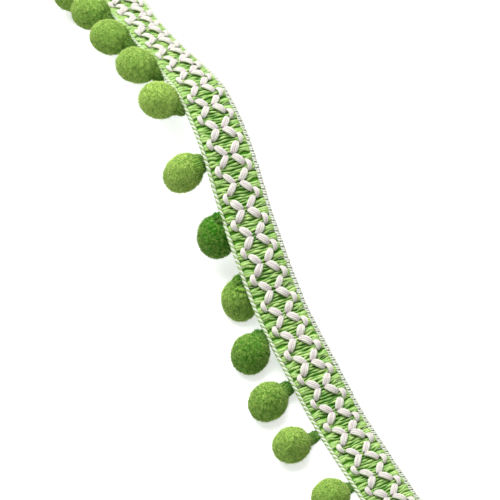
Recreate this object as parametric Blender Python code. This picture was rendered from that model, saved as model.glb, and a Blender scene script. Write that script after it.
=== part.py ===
"""A cut length of pompom fringe trim, as it lies on a table.

The trim is a narrow woven braid. Green weft bundles run across it, two off-white chain yarns lie
on its face and meet in a row of crosses, a two-ply cord runs along its front edge and a fine picot
along its back edge. Round pompoms hang from the cord on short yarn necks.

The near end is at +X and lies flat. The trim then rises in one low arch and comes down again
towards its far end at -X. The fringe is on the -Y side. Sizes are in millimetres up to the last
step, where loft() turns the points into metres. Neighbouring pieces stay about 0.3 mm apart.
"""

import math
from collections import namedtuple

import bmesh
import bpy
import numpy as np
from mathutils import Vector, noise

MM = 0.001

# --- the trim as a whole -----------------------------------------------------------------------
LENGTH = 230.0          # cut length, measured along the middle line
REPEAT = 7.5            # one cross to the next
FIRST_CROSS = 1.25      # from the near end to the middle of the first cross
BUNDLES = 3             # weft bundles in each repeat
PITCH = REPEAT / BUNDLES
START = (109.913, 7.5705)  # where the middle line starts, so that the footprint is centred

# How the trim lies: one row for each place where its line changes. Heading and roll are in
# degrees; a heading of 180 points along -X, and a positive roll lifts the picot edge.
Row = namedtuple("Row", "along heading rise roll")
LIE = [
    Row(0.0, 184.0, 0.0, 0.0),
    Row(20.0, 184.0, 0.0, 0.0),
    Row(40.0, 183.5, 0.0, 0.0),
    Row(60.0, 183.0, 3.9, 4.0),
    Row(80.0, 180.0, 8.0, 4.0),
    Row(95.0, 177.5, 14.0, 3.0),
    Row(110.0, 174.5, 19.6, 2.5),
    Row(125.0, 176.0, 25.5, -1.0),
    Row(140.0, 179.0, 27.0, -6.0),
    Row(155.0, 181.5, 23.0, -12.0),
    Row(170.0, 182.0, 17.6, -19.0),
    Row(185.0, 178.0, 12.2, -19.5),
    Row(200.0, 175.5, 5.6, -11.0),
    Row(216.0, 174.5, 0.0, 0.0),
    Row(230.0, 174.5, 0.0, 0.0),
]
STEP = 0.25             # step for walking along the middle line
SHARP_ANGLE = 40.0      # edges that bend by more than this shade sharp

# --- the woven ground --------------------------------------------------------------------------
# Its face, from the cord side to the picot side: how far across, how thick, and how far the
# weft bundles stand up and sink there.
Lane = namedtuple("Lane", "across thick ridge")
LANES = [
    Lane(-5.2, 0.80, 0.12),
    Lane(-4.5, 1.05, 0.22),
    Lane(-3.0, 0.95, 0.10),
    Lane(0.0, 1.00, 0.18),
    Lane(3.0, 0.95, 0.10),
    Lane(4.6, 1.05, 0.22),
    Lane(5.3, 0.80, 0.12),
]

# --- the two chain yarns -----------------------------------------------------------------------
# One repeat of a chain, from one cross to the next: how far along, how far out from the middle
# line, and the float's width and height there. A float is fat between two thinner joints.
Float = namedtuple("Float", "along across wide high")
CHAIN = [
    Float(0.00, 0.85, 1.10, 0.80),
    Float(0.95, 1.45, 1.75, 1.10),
    Float(1.95, 2.25, 1.75, 1.10),
    Float(2.75, 3.05, 0.60, 0.50),
    Float(3.25, 4.00, 1.35, 1.00),
    Float(4.25, 4.00, 1.35, 1.00),
    Float(4.75, 3.05, 0.60, 0.50),
    Float(5.55, 2.25, 1.75, 1.10),
    Float(6.55, 1.45, 1.75, 1.10),
]
CHAIN_UNDER = 1.60      # height of a float's underside above the back of the braid
CHAIN_END = 0.6         # bare braid left at each cut end

# --- the edges ---------------------------------------------------------------------------------
CORD_ACROSS = -6.15
CORD_HEIGHT = 0.76
CORD_HALF = (0.65, 0.44)   # half sizes of the flattened two-ply section
CORD_LAY = 2.1             # the section makes half a turn in this length
CORD_STEPS = 3             # sections in each lay
CORD_START = 45.0          # how far the ply has turned at the near end, in degrees

PICOT_ACROSS = (5.95, 6.65)   # inner and outer turn of the little loops
PICOT_HEIGHT = 0.62
PICOT_RADIUS = 0.30

# --- the pompoms -------------------------------------------------------------------------------
POMPOM_PITCH = 16.0
POMPOM_FIRST = 9.5
POMPOM_LUMP = 0.16         # how far the cropped surface wanders
LUMPS_ACROSS = 2.2         # how many lumps there are from the middle to the surface
LUMP_SHIFT = 7.3           # gives each pompom lumps of its own
SETTLE = 0.5               # what lies lower than this on a pompom is pressed flat on the table
POMPOM_SIDES = 14
POMPOM_RINGS = 9
NECK_ACROSS = -7.1         # where the neck comes out from under the cord
NECK_HEIGHT = 0.75
NECK_RADIUS = 1.05         # the neck at the cord
NECK_FOOT = 2.1            # the neck where it leaves the ball
NECK_RINGS = 3
PULL_AIM = (1.2, 3.0)      # the egg is drawn out to a spot this far out and up from the neck's end

# Where each pompom lies, seen from its own neck: out from the braid, ahead along it, and the
# height of its middle above the table. Then its radius, and the share by which it is drawn out
# into an egg.
Lie = namedtuple("Lie", "out ahead height radius pull")
POMPOMS = [
    Lie(7.5, -3.5, 4.8, 4.90, 0.08),
    Lie(7.5, -5.2, 4.8, 4.90, 0.08),
    Lie(8.5, -1.9, 4.5, 4.60, 0.10),
    Lie(7.6, -2.8, 4.7, 4.80, 0.13),
    Lie(5.1, -3.1, 4.7, 4.80, 0.12),
    Lie(0.5, -1.3, 4.7, 4.85, 0.06),
    Lie(0.9, -0.3, 11.0, 5.00, 0.08),
    Lie(4.8, 1.4, 20.7, 4.90, 0.24),
    Lie(5.1, 3.7, 30.7, 5.00, 0.20),
    Lie(4.6, 4.7, 26.8, 4.80, 0.28),
    Lie(5.0, 6.7, 20.6, 4.70, 0.25),
    Lie(4.8, 6.8, 14.0, 4.80, 0.20),
    Lie(5.6, 6.1, 7.4, 4.80, 0.15),
    Lie(7.5, 3.0, 4.7, 4.80, 0.08),
]

# --- finishes: colour (linear), roughness ------------------------------------------------------
FINISHES = {
    "weft": ((0.16, 0.40, 0.035), 0.45),
    "chain": ((0.76, 0.71, 0.72), 0.80),
    "cord": ((0.66, 0.74, 0.45), 0.70),
    "picot": ((0.80, 0.80, 0.74), 0.80),
    "pompom": ((0.21, 0.43, 0.05), 0.95),
}


# --- the middle line ---------------------------------------------------------------------------
def smooth(knots, values, wanted):
    """Read a cubic curve through the values at the knots, level wherever they turn or stay."""
    knots = np.array(knots, float)
    values = np.array(values, float)
    spans = np.diff(knots)
    slopes = np.diff(values) / spans
    before, after = slopes[:-1], slopes[1:]
    average = (before * spans[1:] + after * spans[:-1]) / (spans[:-1] + spans[1:])
    limit = 3.0 * np.minimum(abs(before), abs(after)) * (before * after > 0.0)
    tangents = np.concatenate((slopes[:1], np.clip(average, -limit, limit), slopes[-1:]))
    k = np.clip(np.searchsorted(knots, wanted, side="right") - 1, 0, len(spans) - 1)
    t = (wanted - knots[k]) / spans[k]
    return (values[k] * (1 + 2 * t) * (1 - t) ** 2 + values[k + 1] * t * t * (3 - 2 * t)
            + spans[k] * (tangents[k] * t * (1 - t) ** 2 + tangents[k + 1] * t * t * (t - 1)))


def walk():
    """Walk along the middle line of the braid's back and note place and directions on the way."""
    along = np.arange(0.0, LENGTH + STEP / 2, STEP)
    knots = [row.along for row in LIE]
    heading = np.radians(smooth(knots, [row.heading for row in LIE], along))
    rise = np.maximum(smooth(knots, [row.rise for row in LIE], along), 0.0)
    roll = np.radians(smooth(knots, [row.roll for row in LIE], along))
    slope = np.gradient(rise, STEP)
    level = np.sqrt(1.0 - slope ** 2)
    x = START[0] + np.concatenate(([0.0], np.cumsum((np.cos(heading) * level)[:-1] * STEP)))
    y = START[1] + np.concatenate(([0.0], np.cumsum((np.sin(heading) * level)[:-1] * STEP)))
    return {"along": along, "x": x, "y": y, "rise": rise, "heading": heading,
            "slope": slope, "roll": roll}


WALK = walk()


def frame_at(along):
    """Give the point on the middle line, the way ahead, the way across and the way up, in mm."""
    x, y, rise, heading, slope, roll = (
        float(np.interp(along, WALK["along"], WALK[name]))
        for name in ("x", "y", "rise", "heading", "slope", "roll"))
    level = math.sqrt(1.0 - slope ** 2)
    ahead = Vector((math.cos(heading) * level, math.sin(heading) * level, slope))
    side = Vector((math.sin(heading), -math.cos(heading), 0.0))
    normal = side.cross(ahead)
    across = side * math.cos(roll) + normal * math.sin(roll)
    up = normal * math.cos(roll) - side * math.sin(roll)
    return Vector((x, y, rise)), ahead, across, up


def place(along, across, up):
    """Turn a place on the trim into a point in mm."""
    point, _, side, normal = frame_at(along)
    return point + side * across + normal * up


# --- building helpers --------------------------------------------------------------------------
def material(name):
    colour, roughness = FINISHES[name]
    made = bpy.data.materials.get(name)
    if made is None:
        made = bpy.data.materials.new(name)
        made.use_nodes = True
        shader = made.node_tree.nodes["Principled BSDF"]
        shader.inputs["Base Color"].default_value = (*colour, 1.0)
        shader.inputs["Roughness"].default_value = roughness
        shader.inputs["Metallic"].default_value = 0.0
        made.diffuse_color = (*colour, 1.0)
    return made


def loft(name, rings, finish, collection):
    """Make one closed solid through a row of rings of points in mm, with a cap at each end."""
    mesh = bpy.data.meshes.new(name)
    bm = bmesh.new()
    loops = [[bm.verts.new(point * MM) for point in ring] for ring in rings]
    for first, second in zip(loops, loops[1:]):
        for i in range(len(first)):
            j = (i + 1) % len(first)
            bm.faces.new((first[i], first[j], second[j], second[i]))
    bm.faces.new(loops[0][::-1])
    bm.faces.new(loops[-1])
    bmesh.ops.recalc_face_normals(bm, faces=bm.faces)
    bm.to_mesh(mesh)
    bm.free()
    mesh.shade_smooth()
    mesh.set_sharp_from_angle(angle=math.radians(SHARP_ANGLE))
    mesh.materials.append(material(finish))
    made = bpy.data.objects.new(name, mesh)
    collection.objects.link(made)
    return made


# --- the pieces --------------------------------------------------------------------------------
def make_braid(collection):
    """The woven ground: a flat back, and a face that rises over each weft bundle."""
    rings = []
    steps = round(2 * LENGTH / PITCH)
    for k in range(steps + 1):
        along = k * PITCH / 2
        sign = 1.0 if k % 2 == 0 else -1.0
        face = [place(along, lane.across, lane.thick + sign * lane.ridge) for lane in LANES]
        back = [place(along, LANES[-1].across, 0.0), place(along, LANES[0].across, 0.0)]
        rings.append(face + back)
    return loft("braid", rings, "weft", collection)


def chain_stations():
    """Every station of a chain from the near end to the far end."""
    stations = []
    cross = FIRST_CROSS - REPEAT
    while cross < LENGTH:
        for place_in_repeat in CHAIN:
            along = cross + place_in_repeat.along
            if CHAIN_END <= along <= LENGTH - CHAIN_END:
                stations.append(place_in_repeat._replace(along=along))
        cross += REPEAT
    return stations


def make_chain(name, side, collection):
    """One chain yarn: a wavy row of fat floats, diamond in section."""
    stations = chain_stations()
    rings = []
    for k, here in enumerate(stations):
        before = stations[max(k - 1, 0)]
        after = stations[min(k + 1, len(stations) - 1)]
        run = Vector((after.along - before.along, side * (after.across - before.across)))
        run.normalize()
        middle = CHAIN_UNDER + here.high / 2
        half = here.wide / 2
        across = side * here.across
        rings.append([
            place(here.along - run.y * half, across + run.x * half, middle),
            place(here.along, across, middle + here.high / 2),
            place(here.along + run.y * half, across - run.x * half, middle),
            place(here.along, across, middle - here.high / 2),
        ])
    return loft(name, rings, "chain", collection)


def make_cord(collection):
    """The two-ply cord: a flattened section that keeps turning."""
    count = int(LENGTH / CORD_LAY * CORD_STEPS)
    wide, narrow = CORD_HALF
    rings = []
    for k in range(count + 1):
        along = k * LENGTH / count
        turn = math.pi * k / CORD_STEPS + math.radians(CORD_START)
        cos_turn, sin_turn = math.cos(turn), math.sin(turn)
        ring = []
        for a, b in ((wide, 0), (0, narrow), (-wide, 0), (0, -narrow)):
            ring.append(place(along, CORD_ACROSS + a * cos_turn - b * sin_turn,
                              CORD_HEIGHT + a * sin_turn + b * cos_turn))
        rings.append(ring)
    return loft("plied_cord", rings, "cord", collection)


def make_picot(collection):
    """The looped edging: one small loop outwards for each weft bundle."""
    rings = []
    inner, outer = PICOT_ACROSS
    steps = round(2 * LENGTH / PITCH)
    for k in range(steps + 1):
        across = outer if k % 2 else inner
        rings.append([place(k * PITCH / 2, across + a * PICOT_RADIUS, PICOT_HEIGHT + b * PICOT_RADIUS)
                      for a, b in ((1, 0), (0, 1), (-1, 0), (0, -1))])
    return loft("picot", rings, "picot", collection)


def pompom_place(number):
    """Give the ball's middle and the neck's end in mm, and the way in which the ball is drawn out."""
    point, ahead, across, up = frame_at(POMPOM_FIRST + number * POMPOM_PITCH)
    root = point + across * NECK_ACROSS + up * NECK_HEIGHT
    forward = Vector((ahead.x, ahead.y, 0.0)).normalized()
    outward = Vector((-forward.y, forward.x, 0.0))
    lie = POMPOMS[number]
    centre = root + outward * lie.out + forward * lie.ahead
    centre.z = lie.height
    lean, lift = PULL_AIM
    pull = (root - across * lean + Vector((0.0, 0.0, lift)) - centre).normalized()
    # A neck that comes in at a slant ends further out, so that its rim stays clear of the cord.
    end = root - across * NECK_RADIUS * math.sin(across.angle(root - centre))
    return centre, end, pull


def make_pompom(number, collection):
    """A lumpy egg with its tapering neck: rings round the line from the ball's middle to the cord."""
    centre, end, pull = pompom_place(number)
    lie = POMPOMS[number]
    axis = (end - centre).normalized()
    turned = axis.to_track_quat("Z", "Y").to_matrix()
    reach = lie.radius * (1.0 + lie.pull * axis.dot(pull) ** 2)
    last = math.pi - math.asin(NECK_FOOT / reach)
    rings = []
    for k in range(1, POMPOM_RINGS + 1):
        angle = last * k / POMPOM_RINGS
        ring = []
        for i in range(POMPOM_SIDES):
            turn = 2 * math.pi * i / POMPOM_SIDES
            way = Vector((math.sin(angle) * math.cos(turn), math.sin(angle) * math.sin(turn),
                          -math.cos(angle)))
            lump = noise.noise(way * LUMPS_ACROSS + Vector((number * LUMP_SHIFT, 0.0, 0.0)))
            way = turned @ way
            radius = lie.radius * (1.0 + lie.pull * way.dot(pull) ** 2) + POMPOM_LUMP * lump
            ring.append(centre + way * radius)
        rings.append(ring)
    leave = centre - axis * reach * math.cos(last)
    for k in range(1, NECK_RINGS + 1):
        share = k / NECK_RINGS
        middle = leave.lerp(end, share)
        radius = NECK_RADIUS + (NECK_FOOT - NECK_RADIUS) * (1.0 - share) ** 3
        ring = []
        for i in range(POMPOM_SIDES):
            turn = 2 * math.pi * i / POMPOM_SIDES
            ring.append(middle + turned @ Vector((math.cos(turn), math.sin(turn), 0.0)) * radius)
        rings.append(ring)
    for ring in rings:
        for point in ring:
            if point.z < SETTLE:
                point.z = 0.0
    return loft(f"pompom_{number + 1:02d}", rings, "pompom", collection)


def main():
    for thing in list(bpy.data.objects):
        bpy.data.objects.remove(thing)
    trim = bpy.data.collections.new("pompom_fringe_trim")
    bpy.context.scene.collection.children.link(trim)
    make_braid(trim)
    make_chain("chain_left", -1.0, trim)
    make_chain("chain_right", 1.0, trim)
    make_cord(trim)
    make_picot(trim)
    for number in range(len(POMPOMS)):
        make_pompom(number, trim)


main()
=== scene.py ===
# %% [markdown]
# # A pompom fringe trim, yarn by yarn
# A pompom fringe is a narrow braid with a row of cropped yarn balls sewn along one edge. Everything on it
# is yarn, so nearly everything here is a tube that follows a path. The paths are written in the braid's
# own directions: how far along it, how far across it, and how far up from its back, all in millimetres.
# One function turns these into points in space, so the braid can be laid in any wave without touching
# the weave.

# %% Load the fixed frame
import math
from collections import namedtuple

import bmesh
import bpy
import numpy as np
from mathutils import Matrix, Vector, noise


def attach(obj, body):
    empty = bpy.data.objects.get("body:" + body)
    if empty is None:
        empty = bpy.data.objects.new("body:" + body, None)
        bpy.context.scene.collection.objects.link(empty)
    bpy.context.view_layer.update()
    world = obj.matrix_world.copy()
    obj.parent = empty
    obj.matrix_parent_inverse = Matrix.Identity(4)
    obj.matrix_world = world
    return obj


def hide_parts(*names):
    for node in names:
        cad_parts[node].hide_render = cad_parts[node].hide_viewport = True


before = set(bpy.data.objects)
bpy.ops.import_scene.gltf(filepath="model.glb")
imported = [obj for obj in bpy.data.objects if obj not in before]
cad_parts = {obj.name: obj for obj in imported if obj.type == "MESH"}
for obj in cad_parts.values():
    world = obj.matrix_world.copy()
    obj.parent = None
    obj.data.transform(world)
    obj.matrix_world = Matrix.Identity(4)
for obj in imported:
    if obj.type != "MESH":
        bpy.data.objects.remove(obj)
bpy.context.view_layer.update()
MM = 0.001
print("CAD nodes:", len(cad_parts))

# %% [markdown]
# ## How the trim lies
# A cut length of braid never lies straight. This one is flat near us, rises in one low arch and comes down
# again. A short table says how its line changes on the way: its heading, the height of its back and its
# roll. A cubic curve between the rows gives the rest. A simulation could drape it too, but then it would
# not lie where the solid frame lies.

# %% The middle line of the braid
LENGTH = 230.0
START = (109.913, 7.5705)  # where the near end lies on the table
STEP = 0.25
Row = namedtuple("Row", "along heading rise roll")  # in mm, degrees, mm and degrees
LIE = [
    Row(0.0, 184.0, 0.0, 0.0),
    Row(20.0, 184.0, 0.0, 0.0),
    Row(40.0, 183.5, 0.0, 0.0),
    Row(60.0, 183.0, 3.9, 4.0),
    Row(80.0, 180.0, 8.0, 4.0),
    Row(95.0, 177.5, 14.0, 3.0),
    Row(110.0, 174.5, 19.6, 2.5),
    Row(125.0, 176.0, 25.5, -1.0),
    Row(140.0, 179.0, 27.0, -6.0),
    Row(155.0, 181.5, 23.0, -12.0),
    Row(170.0, 182.0, 17.6, -19.0),
    Row(185.0, 178.0, 12.2, -19.5),
    Row(200.0, 175.5, 5.6, -11.0),
    Row(216.0, 174.5, 0.0, 0.0),
    Row(230.0, 174.5, 0.0, 0.0),
]
STEEPEST = 3.0  # a tangent, against the flatter span beside it: more would overshoot


def smooth(knots, values, wanted):
    """Read a cubic curve through the values at the knots, level wherever they turn or stay."""
    knots, values = np.array(knots, float), np.array(values, float)
    spans = np.diff(knots)
    slopes = np.diff(values) / spans
    before, after = slopes[:-1], slopes[1:]
    average = (before * spans[1:] + after * spans[:-1]) / (spans[:-1] + spans[1:])
    limit = STEEPEST * np.minimum(abs(before), abs(after)) * (before * after > 0.0)
    tangents = np.concatenate((slopes[:1], np.clip(average, -limit, limit), slopes[-1:]))
    k = np.clip(np.searchsorted(knots, wanted, side="right") - 1, 0, len(spans) - 1)
    t = (wanted - knots[k]) / spans[k]
    return (values[k] * (1 + 2 * t) * (1 - t) ** 2 + values[k + 1] * t * t * (3 - 2 * t)
            + spans[k] * (tangents[k] * t * (1 - t) ** 2 + tangents[k + 1] * t * t * (t - 1)))


def walk():
    """Walk along the middle line and note the place and the directions on the way."""
    along = np.arange(0.0, LENGTH + STEP / 2, STEP)
    knots = [row.along for row in LIE]
    heading = np.radians(smooth(knots, [row.heading for row in LIE], along))
    rise = np.maximum(smooth(knots, [row.rise for row in LIE], along), 0.0)
    roll = np.radians(smooth(knots, [row.roll for row in LIE], along))
    slope = np.gradient(rise, STEP)
    level = np.sqrt(1.0 - slope ** 2)
    x = START[0] + np.concatenate(([0.0], np.cumsum((np.cos(heading) * level)[:-1] * STEP)))
    y = START[1] + np.concatenate(([0.0], np.cumsum((np.sin(heading) * level)[:-1] * STEP)))
    return {"along": along, "x": x, "y": y, "rise": rise, "heading": heading, "slope": slope,
            "roll": roll}


WALK = walk()
print("the arch is %.1f mm high" % WALK["rise"].max())


# %% From the braid's own directions to points in space
def directions(along):
    """The points on the middle line in mm, and the ways ahead, across and up there."""
    x, y, rise, heading, slope, roll = (np.interp(along, WALK["along"], WALK[name])[..., None]
                                        for name in ("x", "y", "rise", "heading", "slope", "roll"))
    level = np.sqrt(1.0 - slope ** 2)
    flat = np.zeros_like(x)
    ahead = np.concatenate((np.cos(heading) * level, np.sin(heading) * level, slope), axis=-1)
    side = np.concatenate((np.sin(heading), -np.cos(heading), flat), axis=-1)
    normal = np.cross(side, ahead)
    across = side * np.cos(roll) + normal * np.sin(roll)
    up = normal * np.cos(roll) - side * np.sin(roll)
    return np.concatenate((x, y, rise), axis=-1), ahead, across, up


def on_trim(along, across, up):
    """Points in metres for places on the trim in mm. Beyond a cut end the line runs straight on."""
    along, across, up = np.broadcast_arrays(np.asarray(along, float), across, up)
    inside = np.clip(along, 0.0, LENGTH)
    middle, ahead, side, normal = directions(inside)
    return (middle + ahead * (along - inside)[..., None] + side * across[..., None]
            + normal * up[..., None]) * MM


print("the far end lies at", np.round(on_trim(LENGTH, 0.0, 0.0) / MM, 1))


# %% [markdown]
# ## Tubes for yarn
# A curve object with a bevel would make a yarn too, but this braid has nearly two thousand short ones,
# and a curve for each is slow. Instead one function sweeps a small ring along many paths at once with
# numpy. It also notes two things that the finishes use. One is a UV map, in millimetres along the yarn
# and turns round it. The other is a tone from 0, dark, to 1, light. Part of it differs at random, because
# no two yarns take the dye alike, and part is painted shade and painted light, where yarns dive under or
# rise.

# %% A mesh from arrays
def build_mesh(name, points, corners, sizes, uv, tone):
    """Make an object from arrays: points, the corners of all faces in a row, and each face's size."""
    mesh = bpy.data.meshes.new(name)
    mesh.vertices.add(len(points))
    mesh.vertices.foreach_set("co", np.asarray(points, np.float32).ravel())
    mesh.loops.add(len(corners))
    mesh.loops.foreach_set("vertex_index", np.asarray(corners, np.int32))
    mesh.polygons.add(len(sizes))
    starts = np.concatenate(([0], np.cumsum(sizes)[:-1])).astype(np.int32)
    mesh.polygons.foreach_set("loop_start", starts)
    mesh.update(calc_edges=True)
    layer = mesh.uv_layers.new(name="yarn")
    layer.data.foreach_set("uv", np.asarray(uv, np.float32).ravel())
    tones = mesh.attributes.new("tone", "FLOAT", "POINT")
    tones.data.foreach_set("value", np.asarray(tone, np.float32))
    mesh.validate()
    mesh.shade_smooth()
    made = bpy.data.objects.new(name, mesh)
    bpy.context.scene.collection.objects.link(made)
    return made


def keep(piece, slot, *nodes):
    """Let a piece ride on the trim's one body and stand for CAD nodes. The slot is not used."""
    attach(piece, "root")
    if nodes:
        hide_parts(*nodes)
    print(piece.name, "has", len(piece.data.polygons), "faces")
    return piece


# %% Sweep rings along many paths
def unit(vectors):
    """The same directions, each one long."""
    return vectors / np.linalg.norm(vectors, axis=-1, keepdims=True)


def yarns(name, paths, radius, tone, sides=6, upright=(0.0, 0.0, 1.0)):
    """Sweep a ring along each path. paths is (yarns, stations, 3) in metres, and radius is in mm.

    Each ring starts at its underside, as seen from upright, which no path may run along.
    """
    paths = np.asarray(paths, float)
    count, stations = paths.shape[:2]
    radius = np.broadcast_to(np.asarray(radius, float) * MM, (count, stations))[..., None, None]
    run = unit(np.gradient(paths, axis=1))
    lean = np.broadcast_to(np.asarray(upright, float), paths.shape)
    first = unit(lean - run * (lean * run).sum(axis=-1, keepdims=True))
    second = np.cross(run, first)
    turn = (2 * np.pi * np.arange(sides) / sides + np.pi)[:, None]
    ring = np.cos(turn) * first[..., None, :] + np.sin(turn) * second[..., None, :]
    points = (paths[..., None, :] + ring * radius).reshape(-1, 3)

    number = np.arange(count * stations * sides).reshape(count, stations, sides)
    after = np.roll(number, -1, axis=2)
    quads = np.stack((number[:, :-1], after[:, :-1], after[:, 1:], number[:, 1:]), axis=-1).reshape(-1, 4)
    caps = np.concatenate((number[:, 0, ::-1], number[:, -1]))
    corners = np.concatenate((quads.ravel(), caps.ravel()))
    sizes = np.concatenate((np.full(len(quads), 4), np.full(len(caps), sides)))

    pieces = np.linalg.norm(np.diff(paths, axis=1), axis=-1) / MM
    length = np.concatenate((np.zeros((count, 1)), np.cumsum(pieces, axis=1)), axis=1)
    here = np.broadcast_to(length[..., None], number.shape)
    share = np.broadcast_to(np.arange(sides) / sides, number.shape)
    u = np.stack((here[:, :-1], here[:, :-1], here[:, 1:], here[:, 1:]), axis=-1).reshape(-1)
    low, high = share, share + 1.0 / sides
    v = np.stack((low[:, :-1], high[:, :-1], high[:, 1:], low[:, 1:]), axis=-1).reshape(-1)
    u_caps = np.concatenate((here[:, 0], here[:, -1])).ravel()
    v_caps = np.concatenate((share[:, 0, ::-1], share[:, -1])).ravel()
    uv = np.stack((np.concatenate((u, u_caps)), np.concatenate((v, v_caps))), axis=-1)
    tones = np.broadcast_to(np.asarray(tone, float).reshape(count, -1)[..., None], number.shape).ravel()
    return build_mesh(name, points, corners, sizes, uv, tones)


SEED = 7
random = np.random.default_rng(SEED)
print("chance starts from seed", SEED)


# %% [markdown]
# ## Colours and nodes
# Colours are written as the sRGB hex values that a colour picker gives. Blender's shaders want linear
# numbers, so one function does the sum. Another adds a node with its settings and its inputs, where an
# input is either a value or the socket that it is linked from. Fibres bend light about as much as the
# shader's own default, 1.5, so no finish here sets its IOR.

# %% Three helpers for the finishes
def linear(code):
    """An sRGB hex colour as linear red, green, blue and alpha."""
    parts = [int(code[i:i + 2], 16) / 255 for i in (1, 3, 5)]
    return (*(c / 12.92 if c <= 0.04045 else ((c + 0.055) / 1.055) ** 2.4 for c in parts), 1.0)


def add(tree, kind, inputs=(), **settings):
    """Add a node to the tree. inputs pairs an input's name or number with a value or a socket."""
    made = tree.nodes.new(kind)
    for name, value in settings.items():
        setattr(made, name, value)
    for name, value in dict(inputs).items():
        if isinstance(value, bpy.types.NodeSocket):
            tree.links.new(value, made.inputs[name])
        else:
            made.inputs[name].default_value = value
    return made


def new_finish(name, **sockets):
    """A material with one Principled shader, whose even values are set on its own sockets."""
    made = bpy.data.materials.new(name)
    made.use_nodes = True
    shader = made.node_tree.nodes["Principled BSDF"]
    for socket, value in sockets.items():
        shader.inputs[socket.replace("_", " ")].default_value = value
    return made, made.node_tree, shader


print("a leaf green in linear numbers:", np.round(linear("#5ea02a")[:3], 3))

# %% [markdown]
# ## Dyed viscose yarn
# The green weft is viscose, spun as a loose bundle of endless filaments. They all run along the yarn, so
# it shines like silk: long streaks of light with deep green between them. A real filament is about
# 0.015 mm thick, far too fine to show. So the streaks are drawn about 0.4 mm wide, with finer ones inside
# them down to 0.05 mm. They come from a noise that is stretched along the yarn's UV map. A yarn's tone
# also picks its slice of the noise, so that no two yarns are streaked alike.

# %% The yarn finish
NOISE_LOW, NOISE_HIGH = 0.3, 0.7  # nearly all of Blender's noise lies between these
NOISE_SLICES = 97.0  # how far apart the darkest and the lightest yarn read it
RELIEF_DEPTH = 0.1 * MM


def yarn_finish(name, dark, light, rough, sheen, streaks_round, streaks_per_mm, relief, spread=0.5):
    """A spun yarn: streaks along it between two colours, and a fine relief from the same streaks.

    streaks_round is how many lie side by side round the yarn, and spread how far they leave its tone.
    """
    made, tree, shader = new_finish(name, Roughness=rough, Sheen_Weight=sheen, Sheen_Roughness=0.45)
    uv = add(tree, "ShaderNodeUVMap", uv_map="yarn")
    tone = add(tree, "ShaderNodeAttribute", attribute_name="tone")
    apart = add(tree, "ShaderNodeMath", {0: tone.outputs["Fac"], 1: NOISE_SLICES}, operation="MULTIPLY")
    scaled = add(tree, "ShaderNodeMapping", {"Vector": uv.outputs["UV"],
                                             "Scale": (streaks_per_mm, streaks_round, 1.0)})
    streaks = add(tree, "ShaderNodeTexNoise", {"Vector": scaled.outputs["Vector"], "W": apart.outputs[0],
                                               "Scale": 1.0, "Detail": 3.0, "Roughness": 0.6},
                  noise_dimensions="4D")
    level = add(tree, "ShaderNodeMapRange", {"Value": streaks.outputs["Fac"], "From Min": NOISE_LOW,
                                             "From Max": NOISE_HIGH, "To Min": -spread, "To Max": spread})
    mixed = add(tree, "ShaderNodeMath", {0: level.outputs["Result"], 1: tone.outputs["Fac"]},
                operation="ADD", use_clamp=True)
    colour = add(tree, "ShaderNodeMix", {"Factor": mixed.outputs[0], "A": linear(dark),
                                         "B": linear(light)}, data_type="RGBA")
    bump = add(tree, "ShaderNodeBump", {"Height": streaks.outputs["Fac"], "Strength": relief,
                                        "Distance": RELIEF_DEPTH})
    tree.links.new(colour.outputs[2], shader.inputs["Base Color"])
    tree.links.new(bump.outputs["Normal"], shader.inputs["Normal"])
    return made


viscose = yarn_finish("dyed_viscose", "#44841a", "#acca74", rough=0.45, sheen=0.1,
                      streaks_round=6.0, streaks_per_mm=0.8, relief=0.5, spread=0.4)
print("made", viscose.name)

# %% [markdown]
# ## The weft
# Weft is the yarn that crosses a weave. Here nine yarns cross in each 7.5 mm repeat. In the middle they
# lie apart and show one by one, and dip and rise over the warp. At both edges they are drawn together in
# threes where the edge binds them, and then they turn down round it. Each is a tube of its own with a
# small wander, since a row of perfect copies looks machined.

# %% How the weft yarns run
REPEAT = 7.5
FIRST_CROSS = 1.25
WEFTS = 9
BUNDLE = 3
WEFT_PITCH = REPEAT / WEFTS
BUNDLE_PITCH = WEFT_PITCH * BUNDLE
WEFT_STATIONS = 31
WEFT_EDGE = 5.60
WEFT_UP = 0.80
DRAWN = 0.45  # the share of its width that a bundle loses
DRAWN_FROM, DRAWN_OVER, DRAWN_EASE = 2.4, 2.0, 1.5
WANDER = 0.08
WANDER_WAVES = 6
CROWN = 0.16  # how much higher a bundle's middle yarn lies
UP_SPREAD = 0.03
WARP_PITCH = 2.9
WARP_SPREAD = 0.12
WAVE = 0.12
EDGE_DROP, DROP_FROM, DROP_OVER = 0.44, 4.8, 0.8


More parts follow.
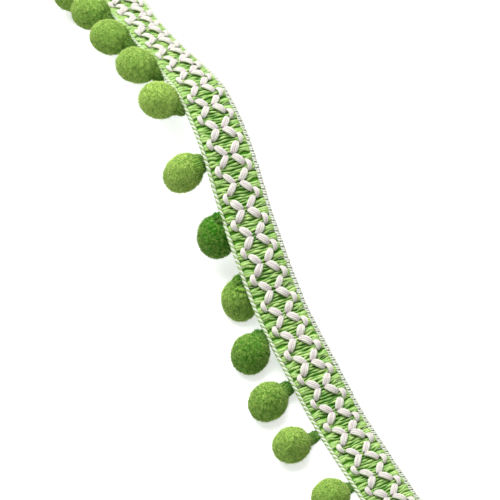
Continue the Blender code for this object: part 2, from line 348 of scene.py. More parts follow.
def weft_paths():
    """The yarns' places along, across and up, how far they are drawn together, and their wave."""
    count = int(LENGTH / WEFT_PITCH)
    share = np.linspace(0.0, 1.0, WEFT_STATIONS)[None, :]
    across = WEFT_EDGE * (share - 0.5 - 0.5 * np.cos(np.pi * share))  # closer together at the edges
    place = (np.arange(count)[:, None] + 0.5) * WEFT_PITCH
    centre = FIRST_CROSS + (np.floor((place - FIRST_CROSS) / BUNDLE_PITCH) + 0.5) * BUNDLE_PITCH
    drawn = np.clip((abs(across) - DRAWN_FROM) / DRAWN_OVER, 0.0, 1.0) ** DRAWN_EASE
    along = centre + (place - centre) * (1.0 - DRAWN * drawn)
    for k in range(1, WANDER_WAVES + 1):
        along = along + random.normal(0.0, WANDER, (count, 1)) * np.sin(np.pi * k * share + k)
    crown = 1.0 - (abs(place - centre) / BUNDLE_PITCH * 2.0) ** 2
    up = WEFT_UP + CROWN * crown * drawn + random.normal(0.0, UP_SPREAD, (count, 1))
    phase = 0.5 * (np.arange(count)[:, None] % 2) + random.normal(0.0, WARP_SPREAD, (count, 1))
    wave = np.sin(2 * np.pi * (across / WARP_PITCH + phase)) * (1.0 - drawn)
    up = up + WAVE * wave
    up = up - EDGE_DROP * np.clip((abs(across) - DROP_FROM) / DROP_OVER, 0.0, 1.0) ** 2
    return along, np.broadcast_to(across, along.shape), up, np.broadcast_to(drawn, along.shape), wave


along, across, up, drawn, wave = weft_paths()
print(len(along), "weft yarns, %.2f mm apart" % WEFT_PITCH)

# %% [markdown]
# ### Thick and thin
# A soft yarn has slubs: stretches where it is a little thicker, and thin ones between them. Painted light
# makes the thick stretches lighter and painted shade the thin ones darker. At the edges it is pulled
# tight, so the slubs are weaker there.

# %% The weft yarns themselves
WEFT_RADIUS = 0.34
WEFT_THINNEST = 0.15
EDGE_THICKER = 0.12
SLUB_EVERY = 3
SLUB_SPREAD = 0.6
SLUB_RADIUS = 0.08
SLUB_UP = 0.08
PULLED_TIGHT = 0.6
WEFT_TONE = 0.45
EDGE_PAINTED_LIGHT = 0.15
DYE_SPREAD = 0.10
SLUB_PAINTED_LIGHT = 0.25
WAVE_PAINTED_SHADING = 0.28


def slubs(count, stations):
    """Slow random change along each of many yarns, about -1 to 1, new at every few stations."""
    knots = np.arange(-1, stations / SLUB_EVERY + 1)
    values = random.normal(0.0, SLUB_SPREAD, (count, len(knots)))
    return np.array([np.interp(np.arange(stations) / SLUB_EVERY, knots, row) for row in values])


slub = slubs(*along.shape)
loose = 1.0 - PULLED_TIGHT * drawn
weft_radius = WEFT_RADIUS + EDGE_THICKER * drawn + SLUB_RADIUS * slub * loose
# The tone holds painted light and shade: the drawn bundles at the edges, the thick slubs and the wave's
# crests are lighter, the thin slubs and the dips darker. Only the random dye spread is the yarns' own.
tone = WEFT_TONE + EDGE_PAINTED_LIGHT * drawn + random.normal(0.0, DYE_SPREAD, (len(along), 1))
tone = tone + SLUB_PAINTED_LIGHT * slub * loose + WAVE_PAINTED_SHADING * wave
weft = yarns("weft_yarns", on_trim(along, across, up + SLUB_UP * slub * loose),
             np.maximum(weft_radius, WEFT_THINNEST), np.clip(tone, 0.0, 1.0))
weft.data.materials.append(viscose)
keep(weft, "weft")

# %% [markdown]
# ## The ground
# Between the weft yarns one looks down into the ground of the weave, where finer warp yarns bind it. It is
# a thin strip of cloth, ribbed by the weft on its back. This is the sheet that the trim is built on.

# %% The ground strip
GROUND_WIDTH = 11.3
GROUND_TOP = 0.50
GROUND_BACK = 0.02
GROUND_EDGE = 0.3
GROUND_SLANT = 0.35
GROUND_INNER = 2.0
GROUND_TONE = 0.4
RIB = 0.10
RIB_STEPS = 4


def ground_strip():
    """A closed strip whose back is ribbed at the pitch of the weft."""
    along = np.linspace(0.0, LENGTH, int(LENGTH / WEFT_PITCH * RIB_STEPS) + 1)[:, None]
    half = GROUND_WIDTH / 2
    edge = half - GROUND_SLANT
    across = np.array([-half, -edge, -GROUND_INNER, GROUND_INNER, edge,
                       half, edge, GROUND_INNER, -GROUND_INNER, -edge])
    top = [GROUND_EDGE, *[GROUND_TOP] * 4, GROUND_EDGE]
    up = np.array(top + [GROUND_BACK] * 4)[None, :] + np.zeros_like(along)
    up[:, len(top):] += RIB * (0.5 - 0.5 * np.cos(2 * np.pi * along / WEFT_PITCH))
    points = on_trim(along, np.broadcast_to(across, up.shape), up)
    rings, sides = points.shape[:2]
    number = np.arange(rings * sides).reshape(rings, sides)
    after = np.roll(number, -1, axis=1)
    quads = np.stack((number[:-1], number[1:], after[1:], after[:-1]), axis=-1).reshape(-1, 4)
    caps = np.stack((number[0], number[-1, ::-1]))
    corners = np.concatenate((quads.ravel(), caps.ravel()))
    sizes = np.concatenate((np.full(len(quads), 4), np.full(2, sides)))
    u = np.broadcast_to(along, number.shape).ravel()[corners]
    v = np.broadcast_to(across, number.shape).ravel()[corners]
    return build_mesh("braid_ground", points.reshape(-1, 3), corners, sizes,
                      np.stack((u, v), axis=-1), np.full(rings * sides, GROUND_TONE))


# %% [markdown]
# ### Viscose ground
# The ground is the same dyed viscose, but tightly woven and in the shade of the weft. Its greens are
# darker than the weft's, as painted shade, and it has no gloss, so it gives the eye only deep green with
# fine lines along the trim. Its warp yarns lie four to the millimetre, and each streak of dye on them is
# about 1.7 mm long.

# %% The ground's finish
WARPS_PER_MM = 4.0
WARP_STREAKS_PER_MM = 0.6


def ground_finish():
    """Fine warp yarns along the strip, in two deep greens."""
    made, tree, shader = new_finish("viscose_ground", Roughness=0.8, Specular_IOR_Level=0.1)
    uv = add(tree, "ShaderNodeUVMap", uv_map="yarn")
    stretched = add(tree, "ShaderNodeMapping", {"Vector": uv.outputs["UV"],
                                                "Scale": (WARP_STREAKS_PER_MM, WARPS_PER_MM, 1.0)})
    warp = add(tree, "ShaderNodeTexNoise", {"Vector": stretched.outputs["Vector"], "Scale": 1.0,
                                            "Detail": 4.0, "Roughness": 0.7})
    # Both greens are darker than the weft's, as painted shade of the weft lying over the ground.
    colour = add(tree, "ShaderNodeMix", {"Factor": warp.outputs["Fac"], "A": linear("#336c14"),
                                         "B": linear("#5ea02a")}, data_type="RGBA")
    bump = add(tree, "ShaderNodeBump", {"Height": warp.outputs["Fac"], "Strength": 0.6,
                                        "Distance": RELIEF_DEPTH})
    tree.links.new(colour.outputs[2], shader.inputs["Base Color"])
    tree.links.new(bump.outputs["Normal"], shader.inputs["Normal"])
    return made


ground = ground_strip()
ground.data.materials.append(ground_finish())
keep(ground, "weft", "braid")

# %% [markdown]
# ## The chain floats
# A float is a stretch of yarn that lies loose on top of a weave. The off-white pattern yarns float in fat
# petals: two legs from each cross, and a short side petal between two crosses. The yarn is a soft bundle
# of cotton strands with hardly any twist. It swells where it floats and is pinched where the weft holds
# it. So each petal is nine strands round an oval, which grows and shrinks along the petal and turns a
# little on the way.

# %% The strands of one petal
# A petal runs from (along0, across0) to (along1, across1), counted in mm from its cross. width and height
# are its oval in the middle, bow is how far it bends outwards, and pinch0 and pinch1 are the share of the
# oval that is left at its ends.
Petal = namedtuple("Petal", "along0 across0 along1 across1 width height bow pinch0 pinch1")
LEG = Petal(0.08, 0.80, 3.02, 3.08, 1.96, 1.25, 0.08, 0.66, 0.26)
SIDE = Petal(2.36, 3.82, 5.44, 3.72, 1.48, 1.10, 0.50, 0.28, 0.24)
PETAL_STATIONS = 12
PETAL_FOOT = 0.98
PETAL_LIFT, LIFT_ROUND = 0.30, 0.8
SWELL_ROUND = 0.7  # below 1 the swelling is fuller than a half wave
STRANDS = 9
STRAND = 0.28
STRAND_TURN = 0.5
UNEVEN = 0.07
TURN_UNEVEN = 9.0  # against the rest, since a petal may start at any turn
CREST_SHADED_TONE, RIM_PAINTED_LIGHT, MIDDLE_PAINTED_LIGHT, COTTON_SPREAD = 0.22, 0.6, 0.12, 0.08


def petal_strands(petal):
    """One petal's strands along, across and up, each (strands, stations), their swelling and tone."""
    t = np.linspace(0.0, 1.0, PETAL_STATIONS)[None, :]
    pinched, swollen, turned, moved, bowed, raised = random.normal(0.0, UNEVEN, 6)
    run = np.array([petal.along1 - petal.along0, petal.across1 - petal.across0])
    run = run / np.linalg.norm(run)
    pinch = petal.pinch0 + (petal.pinch1 - petal.pinch0) * t + pinched
    arch = np.sin(np.pi * t)
    swell = pinch + (1.0 + swollen - pinch) * arch ** SWELL_ROUND
    turn = 2 * np.pi * np.arange(STRANDS)[:, None] / STRANDS + STRAND_TURN * (t - 0.5)
    turn = turn + turned * TURN_UNEVEN
    wide = (petal.width / 2 - STRAND) * swell * np.cos(turn)
    high = (petal.height / 2 - STRAND) * swell * np.sin(turn)
    along = petal.along0 + moved + (petal.along1 - petal.along0) * t - run[1] * wide
    across = petal.across0 + (petal.across1 - petal.across0) * t + run[0] * wide
    across = across + (petal.bow + bowed) * arch
    up = PETAL_FOOT + petal.height / 2 * swell + PETAL_LIFT * arch ** LIFT_ROUND + high + raised
    # Painted light makes the rim strands and the swollen middle lighter, and painted shade darkens the
    # crest, the underside and the pinched ends. Only the random spread is the yarn's own.
    tone = CREST_SHADED_TONE + RIM_PAINTED_LIGHT * abs(np.cos(turn)) + random.normal(0.0, COTTON_SPREAD, (STRANDS, 1))
    return along, across, up, np.broadcast_to(swell, along.shape), tone + MIDDLE_PAINTED_LIGHT * arch


print("a leg is %.1f mm long" % math.hypot(LEG.along1 - LEG.along0, LEG.across1 - LEG.across0))

# %% [markdown]
# ### Brushed cotton
# The pattern yarn is cotton, spun loose and brushed soft. Short fibres stand off it and scatter the light,
# so it looks matt and full, with thin dark lines only where two strands meet. Its painted shade has a faint
# lilac tint. A cotton fibre is as fine as a filament of viscose, so these streaks are drawn coarser too,
# from
# 0.6 mm down to 0.08 mm.

# %% Both chains
END_MARGIN = 0.2
STRAND_THIN, STRAND_SWELL = 0.36, 0.71


def petals_at(cross, side):
    """The petals of one chain round one cross: two legs, and the side petal ahead of them."""
    back = LEG._replace(along0=-LEG.along0, along1=-LEG.along1)
    for petal in (LEG, back, SIDE):
        yield petal._replace(along0=cross + petal.along0, along1=cross + petal.along1, bow=side * petal.bow,
                             across0=side * petal.across0, across1=side * petal.across1)


def chain(name, side):
    """All floats of one chain as one piece, but for petals that a cut end would shorten."""
    parts = []
    cross = FIRST_CROSS - REPEAT
    while cross < LENGTH:
        for petal in petals_at(cross, side):
            ends = petal.along0, petal.along1
            if END_MARGIN < min(ends) and max(ends) < LENGTH - END_MARGIN:
                parts.append(petal_strands(petal))
        cross += REPEAT
    along, across, up, swell, tone = (np.concatenate([part[k] for part in parts]) for k in range(5))
    radius = STRAND * (STRAND_THIN + STRAND_SWELL * swell)
    return yarns(name, on_trim(along, across, up), radius, np.clip(tone, 0.05, 0.95), sides=5)


cotton = yarn_finish("brushed_cotton", "#b9a8b2", "#cdcfbf", rough=0.9, sheen=0.15,
                     streaks_round=3.0, streaks_per_mm=1.6, relief=0.8)
for side, word in ((-1.0, "left"), (1.0, "right")):
    floats = chain("chain_floats_" + word, side)
    floats.data.materials.append(cotton)
    keep(floats, "chain", "chain_" + word)

# %% [markdown]
# ## The plied cord
# Along the fringe edge runs a cord of two white plies, twisted round each other five times in two repeats.
# A fine green thread runs in each groove between them. A ply is a helix round the cord's line. Two helices
# half a turn apart touch all along, as real plies do, and the green threads are two more, a quarter of a
# turn from the plies.

# %% How a strand of the cord runs
CORD_ACROSS = -6.25
CORD_UP = 0.80
CORD_LAY = REPEAT / 2.5
CORD_MARGIN = 0.1
CORD_HELIX = 0.25
PLY_RADIUS = 0.31
GROOVE_HELIX = 0.38
GROOVE_THREAD = 0.19
PLY_STATIONS = 12
PLY_TONE, PLY_PAINTED_SHADE = 0.5, 0.4


def cord_strand(turned, helix):
    """One strand of the cord as places in space, and its tone: painted shade where it dives under, painted
    light where it comes up.
    """
    turns = LENGTH / CORD_LAY
    t = np.linspace(0.0, 1.0, int(turns * PLY_STATIONS) + 1)
    angle = 2 * np.pi * (turns * t + turned)
    along = CORD_MARGIN + (LENGTH - 2 * CORD_MARGIN) * t
    path = on_trim(along, CORD_ACROSS + helix * np.cos(angle), CORD_UP + helix * np.sin(angle))
    return path, PLY_TONE + PLY_PAINTED_SHADE * np.sin(angle)


print("the cord is %.2f mm thick" % (2 * (CORD_HELIX + PLY_RADIUS)))

# %% [markdown]
# ### Mercerised cotton
# The cord is cotton that was mercerised, which makes its fibres round and smooth. It gives the eye a firm
# yarn with a soft gloss, whiter than the brushed one. Its fibres are too fine to show as well, so their
# streaks are drawn 0.5 mm wide and finer.

# %% The cord
MERCERISED = {"rough": 0.5, "sheen": 0.2, "streaks_round": 4.0, "streaks_per_mm": 1.5, "relief": 0.5,
              "spread": 0.25}


def cord_pair(name, first, helix, radius, finish):
    """Two strands of the cord, half a turn apart, as one piece."""
    strands = cord_strand(first, helix), cord_strand(first + 0.5, helix)
    paths, tones = (np.stack(pair) for pair in zip(*strands))
    made = yarns(name, paths, radius, tones, sides=7)
    made.data.materials.append(finish)
    return made


white = yarn_finish("mercerised_cotton_white", "#9aa488", "#d0d5c5", **MERCERISED)
white_plies = cord_pair("cord_plies_white", 0.0, CORD_HELIX, PLY_RADIUS, white)
keep(white_plies, "cord", "plied_cord")
green = yarn_finish("mercerised_cotton_green", "#3a6422", "#88ac58", **MERCERISED)
green_threads = cord_pair("cord_threads_green", 0.25, GROOVE_HELIX, GROOVE_THREAD, green)
keep(green_threads, "cord")

# %% [markdown]
# ## The picot
# The other edge is bound by two fine white cotton yarns. Each loops out over the edge and back five times
# in a repeat, and one follows the other by a little less than half a loop. Makers call such an edge a
# picot. Each yarn is a helix too, but a loose and flat one: high and close to the weft on its way back,
# low on its way out, and every loop reaches a little more or less far than the last. Fine cotton is plain
# and matt. Its loops are white, and painted shade greys them where they dive under. Its streaks are drawn
# 0.5 mm wide, as the cord's are.

# %% The picot loops
PICOT_ACROSS = 6.12
PICOT_UP = 0.66
PICOT_PITCH = REPEAT / 5
PICOT_MARGIN = 0.15
PICOT_REACH = 0.44
PICOT_UNEVEN = 0.18
PICOT_RISE = 0.24
PICOT_OUTER_DROP = 0.12
PICOT_FULLNESS = 0.16
PICOT_YARN = 0.24
PICOT_STATIONS = 12
PICOT_TONE, PICOT_PAINTED_SHADE = 0.5, 0.45
PICOT_FOLLOWS = 0.4


def picot_path(turns, shift):
    """One looping yarn as places in space, and its tone: painted shade where it dives under, painted light
    where it comes up.
    """
    t = np.linspace(0.0, 1.0, int(turns * PICOT_STATIONS) + 1)
    angle = 2 * np.pi * (turns * t + shift)
    loops = int(turns) + 2
    change = np.interp(t * turns, np.arange(loops), random.normal(1.0, PICOT_UNEVEN, loops))
    along = PICOT_MARGIN + (LENGTH - 2 * PICOT_MARGIN) * t + PICOT_FULLNESS * np.sin(2 * angle)
    across = PICOT_ACROSS + PICOT_REACH * change * np.cos(angle)
    up = PICOT_UP + PICOT_RISE * np.sin(angle) - PICOT_OUTER_DROP * np.cos(angle)
    return on_trim(along, across, up), PICOT_TONE + PICOT_PAINTED_SHADE * np.sin(angle)


turns = LENGTH / PICOT_PITCH
paths, tones = (np.stack(pair) for pair in zip(picot_path(turns, 0.0), picot_path(turns, PICOT_FOLLOWS)))
loops = yarns("picot_loops", paths, PICOT_YARN, tones)
loops.data.materials.append(yarn_finish("fine_cotton_white", "#929d87", "#cbcfc0", rough=0.7, sheen=0.3,
                                        streaks_round=3.0, streaks_per_mm=1.5, relief=0.4))
keep(loops, "picot", "picot")

# %% [markdown]
# ## The binding threads
# The yarn that binds the edges runs in between two weft bundles on its way to the side petals. Only a bit
# of it shows, sunk in the gap, and not in every gap. Each bit is a short thin tube at the border between
# two bundles. It is fine cotton, coloured greyer and greener than the picot: painted shade of the gap,
# tinted by the weft around it. Its streaks are drawn 0.2 mm wide.

# %% The binding threads
# A run of thread starts so many mm across, goes on for so many, and shows in such a share of the gaps.
Run = namedtuple("Run", "start way share")
RUNS = (Run(3.9, 2.1, 0.6), Run(-4.2, -1.5, 0.25))
BINDER = 0.10
BINDER_STATIONS = 7
BINDER_SLANT = 0.18
BINDER_UP, BINDER_ARCH, BINDER_UP_SPREAD = 0.74, 0.10, 0.05
BINDER_TONE, BINDER_TONE_SPREAD = 0.4, 0.2


def binders():
    """All threads as one piece."""
    paths = []
    t = np.linspace(0.0, 1.0, BINDER_STATIONS)
    for gap in np.arange(FIRST_CROSS, LENGTH - 1.0, BUNDLE_PITCH):
        for run in RUNS:
            slant = random.normal(0.0, BINDER_SLANT)
            up = BINDER_UP + BINDER_ARCH * np.sin(np.pi * t) + random.normal(0.0, BINDER_UP_SPREAD)
            if random.random() < run.share:
                paths.append(on_trim(gap + slant * (t - 0.5), run.start + run.way * t, up))
    tone = np.clip(random.normal(BINDER_TONE, BINDER_TONE_SPREAD, len(paths)), 0.0, 1.0)
    return yarns("binding_threads", np.array(paths), BINDER, tone, sides=5)


threads = binders()
# Greyer and greener than the picot's cotton: painted shade of the gap, tinted by the weft around it.
threads.data.materials.append(yarn_finish("fine_cotton_painted_shade", "#8b9078", "#c9cbb8", rough=0.8, sheen=0.2,
                                          streaks_round=3.0, streaks_per_mm=2.0, relief=0.4))
keep(threads, "picot")

# %% [markdown]
# ## The pompoms
# A pompom is a tied bundle of acrylic yarn whose ends are cropped to a ball. What shows is thousands of
# cut tips. A smooth sphere would look like plastic, and Blender's hair is not a mesh, so the ball is a
# lumpy base with a dense coat of tiny pointed tufts. A tuft stands for a few cut ends. Each ball that
# lies on the table has a small flat spot.

# %% Where each pompom lies
# out, ahead and height place the ball's middle in mm: away from the braid and along it, both from the
# neck's root, and above the table. radius is the ball's. pull is the share by which its egg is drawn out
# towards the neck. foot and spread are half the hank's width at the ball and at the cord, and shift is
# how far along the braid it goes under the cord. The last column is how much lighter the ball and its
# neck are coloured.
Lie = namedtuple("Lie", "out ahead height radius pull foot spread shift dye")
POMPOMS = [
    Lie(7.5, -3.5, 4.8, 4.90, 0.08, 1.6, 0.9, 0.0, 0.00),
    Lie(7.5, -5.2, 4.8, 4.95, 0.10, 1.7, 0.9, -1.3, 0.04),
    Lie(8.5, -2.0, 4.6, 4.65, 0.13, 1.7, 0.9, 1.1, 0.06),
    Lie(7.6, -2.8, 4.7, 4.92, 0.13, 2.0, 1.1, 0.5, -0.05),
    Lie(4.9, -3.1, 4.7, 5.05, 0.08, 2.5, 1.4, 0.2, -0.18),
    Lie(0.5, -1.3, 4.8, 4.85, 0.26, 2.7, 1.4, -1.2, 0.02),
    Lie(1.0, -0.3, 12.1, 5.10, 0.25, 1.5, 0.6, 1.5, -0.23),
    Lie(4.8, 1.4, 20.7, 4.90, 0.24, 2.6, 1.6, 0.0, 0.10),
    Lie(5.1, 3.7, 30.5, 4.90, 0.14, 2.2, 1.1, 1.4, 0.14),
    Lie(4.6, 4.7, 26.7, 4.75, 0.24, 2.2, 1.2, 0.3, 0.05),
    Lie(5.0, 6.7, 20.6, 4.70, 0.25, 2.4, 1.3, 0.0, 0.00),
    Lie(4.8, 6.8, 14.0, 4.80, 0.20, 2.4, 1.2, 0.0, 0.00),
    Lie(5.6, 6.1, 7.4, 4.80, 0.15, 2.2, 1.1, 0.0, 0.00),
    Lie(7.5, 3.0, 4.7, 4.80, 0.08, 1.6, 0.9, 0.0, 0.00),
]
POMPOM_PITCH = 16.0
POMPOM_FIRST = 9.5
NECK_ACROSS = -7.1
NECK_UP = 0.75
EGG_OUT, EGG_UP = 1.2, 2.0  # from the neck's root to the point that the egg is drawn towards


def pompom_along(number):
    """How far along the braid a pompom is sewn on."""
    return POMPOM_FIRST + number * POMPOM_PITCH


def pompom_place(number):
    """The neck's root and the ball's middle in mm, the way across, and the way the egg is drawn out."""
    middle, ahead, across, up = directions(np.array(pompom_along(number)))
    root = middle + across * NECK_ACROSS + up * NECK_UP
    forward = unit(ahead * (1.0, 1.0, 0.0))
    outward = np.array((-forward[1], forward[0], 0.0))
    lie = POMPOMS[number]
    centre = root + outward * lie.out + forward * lie.ahead
    centre[2] = lie.height
    entry = unit(root - across * EGG_OUT + (0.0, 0.0, EGG_UP) - centre)
    return root, centre, across, entry


print("first pompom at", np.round(pompom_place(0)[1], 1))

# %% [markdown]
# ### The necks
# A hank of the pompom's own yarn ties it under the cord. It comes out of the ball as a short cone, is drawn
# together and flattened, and dives under the cord. A cone would look like a stalk, so it is made of 26
# strands side by side, which get thinner towards the cord. Painted shade darkens them there too, where
# little light reaches them.

# %% The strands of the necks
NECK_STRANDS = 26
NECK_STRAND, NECK_STRAND_END = 0.50, 0.32
NECK_STATIONS = 14
NECK_END_ACROSS, NECK_END_UP = -6.30, -0.15
NECK_DIVE_OUT, NECK_DIVE_DOWN = 1.1, 0.8  # the bend just before the end, which makes it come from below
NECK_SUNK = 0.6
NECK_STRAIGHT = 0.4
NECK_FLAT = 0.35
NECK_TAPER = 1.3
NECK_TWIST = 0.3
NECK_UNEVEN = 0.15


def neck_strands(number):
    """The strands of one neck in mm, as (strands, stations, 3)."""
    root, centre, across, entry = pompom_place(number)
    lie = POMPOMS[number]
    middle, ahead, _, up = directions(np.array(pompom_along(number) + lie.shift))
    end = middle + across * NECK_END_ACROSS + up * NECK_END_UP
    axis = unit(root - centre)
    reach = lie.radius * (1.0 + lie.pull * (axis @ entry) ** 2)
    deep = math.sqrt(reach ** 2 - lie.foot ** 2) - NECK_SUNK
    a, b = centre + axis * deep, centre + axis * (reach - NECK_STRAIGHT)
    c = end - across * NECK_DIVE_OUT - up * NECK_DIVE_DOWN
    t = np.linspace(0.0, 1.0, NECK_STATIONS)[:, None]
    line = a * (1 - t) ** 3 + b * 3 * (1 - t) ** 2 * t + c * 3 * (1 - t) * t * t + end * t ** 3
    run = unit(np.gradient(line, axis=0))
    side = unit(ahead - run * (run * ahead).sum(axis=-1, keepdims=True))
    other = np.cross(side, run)
    foot = lie.foot - NECK_STRAND
    wide = foot + (lie.spread - foot) * t ** NECK_TAPER
    flat = foot + (NECK_FLAT - foot) * np.sqrt(t)
    strands = []
    for k in range(NECK_STRANDS):
        turn = 2 * np.pi * (k + random.normal(0.0, NECK_UNEVEN)) / NECK_STRANDS + NECK_TWIST * t
        strands.append(line + side * wide * np.cos(turn) + other * flat * np.sin(turn))
    strands = np.array(strands)
    strands[..., 2] = np.maximum(strands[..., 2], NECK_STRAND)
    return strands


hanks = [neck_strands(number) for number in range(len(POMPOMS))]
print(len(hanks), "hanks of", NECK_STRANDS, "strands")

# %% [markdown]
# ### Acrylic yarn
# The hank is acrylic, spun soft and high in bulk. It is matt, and its colours are darker than the pile's,
# as painted shade, so it gives the eye dark green lines with little light on them. Its fibres, of about
# 0.02 mm, are drawn as streaks 0.5 mm wide and finer.

# %% The necks
NECK_TONE, NECK_PAINTED_SHADE, NECK_TONE_SPREAD = 0.62, 0.60, 0.14
NECK_UPRIGHT = (0.31, 0.17, 0.93)  # leans, because some strands run straight up

paths = np.concatenate(hanks) * MM
tone = random.normal(NECK_TONE, NECK_TONE_SPREAD, (len(paths), 1))
# Painted shade darkens each strand towards the cord.
tone = tone - NECK_PAINTED_SHADE * np.linspace(0.0, 1.0, NECK_STATIONS)
dye = np.repeat([lie.dye for lie in POMPOMS], NECK_STRANDS)[:, None]
necks = yarns("pompom_necks", paths, np.linspace(NECK_STRAND, NECK_STRAND_END, NECK_STATIONS),
              np.clip(tone + dye, 0.0, 1.0), upright=NECK_UPRIGHT)
necks.data.materials.append(yarn_finish("acrylic_yarn", "#1f5204", "#7fae34", rough=0.8, sheen=0.10,
                                        streaks_round=6.0, streaks_per_mm=1.0, relief=0.6))
keep(necks, "pompom")

# %% [markdown]
# ### The base of a ball
# Under its tips a pompom is an egg, drawn out a little towards its neck. Scissors leave it lumpy, so two
# noises push its surface in and out: slow lumps about 2 mm wide, and a grain of half a millimetre.

# %% The egg and its lumps
PILE_DEPTH = 0.34
LUMP, LUMPS_ROUND = 0.17, 2.2
GRAIN, GRAINS_ROUND = 0.09, 9.0
LUMPS_APART = 7.3


def sphere_directions():
    """Even directions from an icosphere, and its triangles."""
    bm = bmesh.new()
    bmesh.ops.create_icosphere(bm, subdivisions=4, radius=1.0)
    ways = np.array([v.co[:] for v in bm.verts])
    triangles = np.array([[v.index for v in f.verts] for f in bm.faces])
    bm.free()
    return ways, triangles


def surface(ways, number, entry):
    """How far the base reaches in each direction, in mm."""
    shift = Vector((number * LUMPS_APART, 0.0, 0.0))
    uneven = [LUMP * noise.noise(Vector(w) * LUMPS_ROUND + shift)
              + GRAIN * noise.noise(Vector(w) * GRAINS_ROUND - shift) for w in ways]
    lie = POMPOMS[number]
    return lie.radius * (1.0 + lie.pull * (ways @ entry) ** 2) - PILE_DEPTH + np.array(uneven)


ways, triangles = sphere_directions()
print("a base has", len(triangles), "faces")

# %% [markdown]
# ### The tufts
# The tufts are closed little spikes. Most stand on the ball and lean every way, and one in eight is a
# longer end that the scissors missed. Others stand on the neck's strands and are combed towards the cord.

# %% The tufts on ball and neck
TUFTS = 7400
TUFT_LENGTH = 0.48
TUFT_SHORTEST, TUFT_LONGEST = 0.55, 1.15
TUFT_WIDTH = 0.10
TUFT_LEAN = 0.6
LONG_ENDS, LONGER, SLIMMER = 0.12, 0.8, 0.4
NECK_TUFTS = 1300
NECK_COVERED = 0.75
NECK_COMB = 0.5
NECK_TUFT_ROOT = 0.9


def spikes(foot, way):
    """Three foot points and a tip for each tuft. It stands the given way, and leans sideways by chance."""
    count = len(foot)
    side = unit(np.cross(way, random.normal(0.0, 1.0, (count, 3))))
    other = np.cross(way, side)
    long = (random.random((count, 1)) < LONG_ENDS) * 1.0
    reach = TUFT_LENGTH * random.uniform(TUFT_SHORTEST, TUFT_LONGEST, (count, 1)) * (1.0 + LONGER * long)
    wide = TUFT_WIDTH * (1.0 - SLIMMER * long)
    feet = [foot + wide * (math.cos(a) * side + math.sin(a) * other)
            for a in (0.0, 2 * math.pi / 3, 4 * math.pi / 3)]
    tip = foot + unit(way + TUFT_LEAN * side * random.random((count, 1))) * reach
    return np.stack(feet + [tip], axis=1)


def neck_tufts(number):
    """Tufts on the neck's strands, combed towards the cord, and how far each is along the neck."""
    strands = hanks[number]
    pick = random.integers(0, NECK_STRANDS, NECK_TUFTS)
    t = random.random(NECK_TUFTS) * NECK_COVERED * NECK_STATIONS
    low = t.astype(int)
    spot = strands[pick, low] + (strands[pick, low + 1] - strands[pick, low]) * (t - low)[:, None]
    run = unit(strands[pick, low + 1] - strands[pick, low])
    out = unit(spot - strands.mean(axis=0)[low])
    combed = spikes(spot + out * NECK_STRAND * NECK_TUFT_ROOT, unit(out + NECK_COMB * run))
    return combed, t / NECK_STATIONS


print("a pompom has", TUFTS + NECK_TUFTS, "tufts")

# %% [markdown]
# ### One pompom
# Base and tufts become one mesh. Painted shade makes the base and the tufts' feet darker, and painted
# light makes their tips lighter. Painted shade also darkens them towards the neck and on it, where the pile
# is thin and one looks down between the ends.

# %% One pompom
TUFT_SUNK = 0.08
TABLE_GAP = 0.03
NEAR_NECK, NEAR_OVER = 0.55, 0.35  # cosines of the angle from the neck
# The base and the tufts' feet are darker and the tips lighter as painted shade and light in the pile; near
# the neck and on the hank the tone drops as painted shade.
BASE_SHADED_TONE = 0.32
FOOT_PAINTED_SHADE, TIP_PAINTED_LIGHT = 0.2, 0.12
BALL_TONE, BALL_TONE_SPREAD, NEAR_NECK_PAINTED_SHADE = 0.55, 0.17, 0.30
HANK_SHADED_TONE, HANK_TONE_SPREAD, HANK_PAINTED_SHADE = 0.38, 0.15, 0.5


def pompom(number):
    """One ball: a lumpy base, and a coat of spikes that thins on the neck, with painted shade there."""
    root, centre, _, entry = pompom_place(number)
    dye = POMPOMS[number].dye
    base = centre + ways * surface(ways, number, entry)[:, None]
    spots = unit(random.normal(0.0, 1.0, (TUFTS, 3)))
    coat = spikes(centre + spots * (surface(spots, number, entry) - TUFT_SUNK)[:, None], spots)
    combed, share = neck_tufts(number)
    points = np.concatenate((base, coat.reshape(-1, 3), combed.reshape(-1, 3)))
    points[:, 2] = np.maximum(points[:, 2], TABLE_GAP)
    first = len(base) + 4 * np.arange(TUFTS + NECK_TUFTS)[:, None]
    tufts = [first + np.array(face) for face in ((0, 1, 3), (1, 2, 3), (2, 0, 3), (2, 1, 0))]
    faces = np.concatenate([triangles] + tufts)
    near = np.clip((spots @ unit(root - centre) - NEAR_NECK) / NEAR_OVER, 0.0, 1.0)
    # Painted shade near the neck and along the hank.
    shade = dye + np.concatenate((
        random.normal(BALL_TONE, BALL_TONE_SPREAD, TUFTS) - NEAR_NECK_PAINTED_SHADE * near,
        random.normal(HANK_SHADED_TONE, HANK_TONE_SPREAD, NECK_TUFTS) - HANK_PAINTED_SHADE * share))
    # Painted shade at the feet, painted light at the tips.
    tuft_tone = np.stack((shade - FOOT_PAINTED_SHADE,) * 3 + (shade + TIP_PAINTED_LIGHT,), axis=1).ravel()
    tone = np.concatenate((np.full(len(base), BASE_SHADED_TONE + dye), tuft_tone))
    return build_mesh(f"pompom_pile_{number + 1:02d}", points * MM, faces.ravel(), np.full(len(faces), 3),
                      np.zeros((faces.size, 2)), tone)


# %% [markdown]
# ### Cropped acrylic
# Cut acrylic pile is matt: light goes in between the ends and little comes straight back. The tips are
# painted paler and yellower than the depths, as painted light on the tips and painted shade in the
# depths, and the pile is mottled where its ends part. A single end, of about 0.02 mm, is too fine to
# show, so the mottle is drawn as coarse as the parted tufts: 0.8 mm wide, with finer grain in it. The
# mottle sits in the object's own space, since a ball has no way along it.

# %% The pile's finish
MOTTLES_PER_MM = 1.3
MOTTLE = 0.28


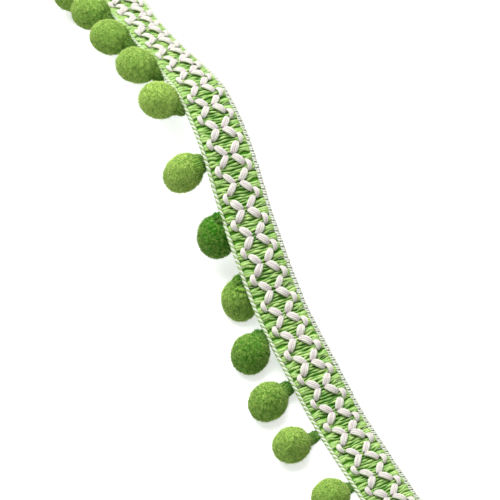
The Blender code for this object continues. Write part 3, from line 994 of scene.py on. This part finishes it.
def pile_finish():
    """Cropped acrylic between a deep green and a pale yellow green, by tone and mottle."""
    made, tree, shader = new_finish("cropped_acrylic", Roughness=0.95, Sheen_Weight=0.08,
                                    Sheen_Roughness=0.5, Specular_IOR_Level=0.1,
                                    Sheen_Tint=linear("#f0f0d4"))
    tone = add(tree, "ShaderNodeAttribute", attribute_name="tone")
    place = add(tree, "ShaderNodeTexCoord")
    mottle = add(tree, "ShaderNodeTexNoise", {"Vector": place.outputs["Object"],
                                              "Scale": MOTTLES_PER_MM / MM, "Detail": 3.0,
                                              "Roughness": 0.75})
    level = add(tree, "ShaderNodeMapRange", {"Value": mottle.outputs["Fac"], "From Min": NOISE_LOW,
                                             "From Max": NOISE_HIGH, "To Min": -MOTTLE, "To Max": MOTTLE})
    mixed = add(tree, "ShaderNodeMath", {0: level.outputs["Result"], 1: tone.outputs["Fac"]},
                operation="ADD", use_clamp=True)
    colour = add(tree, "ShaderNodeMix", {"Factor": mixed.outputs[0], "A": linear("#226e02"),
                                         "B": linear("#c5df76")}, data_type="RGBA")
    tree.links.new(colour.outputs[2], shader.inputs["Base Color"])
    return made


pile = pile_finish()
for number in range(len(POMPOMS)):
    ball = pompom(number)
    ball.data.materials.append(pile)
    keep(ball, "pompom", f"pompom_{number + 1:02d}")

# %% [markdown]
# ## The sheet
# Although it is built yarn by yarn, the braid is a piece of cloth, cut to a width and a length. The ground
# strip stands for it, and all the rest is sewn to it or woven into it. It lies on the table as it fell.

# %% The sheet's size
print("the sheet was cut to %.1f by %.0f mm" % (GROUND_WIDTH, LENGTH))

# %% [markdown]
# ## Floor and light
# The trim lies on a white table, photographed so brightly that the table is pure white. A plain pale floor
# with a little light of its own gives that without burning out the yarns. One broad soft light stands
# above, behind and a little to the left of the trim. A large area light does that, and an even white world
# fills the shadows.

# %% The stage
TURN = math.radians(67.0)  # which way the camera looks, seen from above
RIGHT = Vector((math.cos(TURN), math.sin(TURN), 0.0))
AWAY = Vector((-math.sin(TURN), math.cos(TURN), 0.0))
UP = Vector((0.0, 0.0, 1.0))
FLOOR_HALF = 3  # in metres, as the light's distance and size are
FLOOR_GLOW = 0.62
KEY_FROM = -0.20 * RIGHT + 0.30 * AWAY + 0.92 * UP
KEY_DISTANCE = 1.2
KEY_SIZE = 1.2
KEY_POWER = 29.5
FILL = 0.43


def stage_floor():
    """A plain white lacquered table top, matt and evenly pale."""
    mesh = bpy.data.meshes.new("floor")
    half = FLOOR_HALF
    mesh.from_pydata([(-half, -half, 0), (half, -half, 0), (half, half, 0), (-half, half, 0)], [],
                     [(0, 1, 2, 3)])
    made = bpy.data.objects.new("floor", mesh)
    bpy.context.scene.collection.objects.link(made)
    finish, _, _ = new_finish("white_table", Base_Color=linear("#cbcbcb"), Roughness=0.9,
                              Specular_IOR_Level=0.1, Emission_Color=linear("#ffffff"),
                              Emission_Strength=FLOOR_GLOW)
    mesh.materials.append(finish)
    return made


def area_light(name, direction, distance, size, power):
    """A square soft light that shines on the trim from a direction."""
    light = bpy.data.lights.new(name, "AREA")
    light.size = size
    light.energy = power
    made = bpy.data.objects.new(name, light)
    bpy.context.scene.collection.objects.link(made)
    way = Vector(direction).normalized()
    made.location = way * distance
    made.rotation_euler = way.to_track_quat("Z", "Y").to_euler()
    return made


floor = stage_floor()
key = area_light("key", KEY_FROM, KEY_DISTANCE, KEY_SIZE, KEY_POWER)
world = bpy.data.worlds.new("studio")
bpy.context.scene.world = world
world.use_nodes = True
background = world.node_tree.nodes["Background"]
background.inputs["Color"].default_value = linear("#ffffff")
background.inputs["Strength"].default_value = FILL
bpy.context.scene.view_settings.view_transform = "Standard"
print(floor.name, "and", key.name, "light are in place")

# %% [markdown]
# ## The camera
# It looks down at 50 degrees from 1.3 m away through a long lens, so the trim hardly tapers. The lens
# follows from the distance and from how many pixels of the photograph one millimetre takes.

# %% Set up the camera
ELEVATION = math.radians(50.0)
CAMERA_DISTANCE = 1298.7
PIXELS_PER_MM = 3.8964
AIM_RIGHT, AIM_AWAY, AIM_UP = -42.22, 87.18, 10.22  # from the braid's near end
SENSOR = 36.0
PHOTO_WIDTH = 500
CLIP_START, CLIP_END = 0.05, 20.0


def make_camera():
    """The camera, aimed from the near end's place, so that it follows the trim if that is moved."""
    data = bpy.data.cameras.new("camera")
    data.sensor_width = SENSOR
    data.lens = PIXELS_PER_MM * CAMERA_DISTANCE * SENSOR / PHOTO_WIDTH
    data.clip_start, data.clip_end = CLIP_START, CLIP_END
    made = bpy.data.objects.new("camera", data)
    bpy.context.scene.collection.objects.link(made)
    aim = Vector((START[0], START[1], 0.0)) + AIM_RIGHT * RIGHT + AIM_AWAY * AWAY + AIM_UP * UP
    look = AWAY * math.cos(ELEVATION) - UP * math.sin(ELEVATION)
    made.location = (aim - look * CAMERA_DISTANCE) * MM
    made.rotation_mode = "QUATERNION"
    made.rotation_quaternion = look.to_track_quat("-Z", "Y")
    bpy.context.scene.camera = made
    return made


print("lens %.0f mm" % make_camera().data.lens)
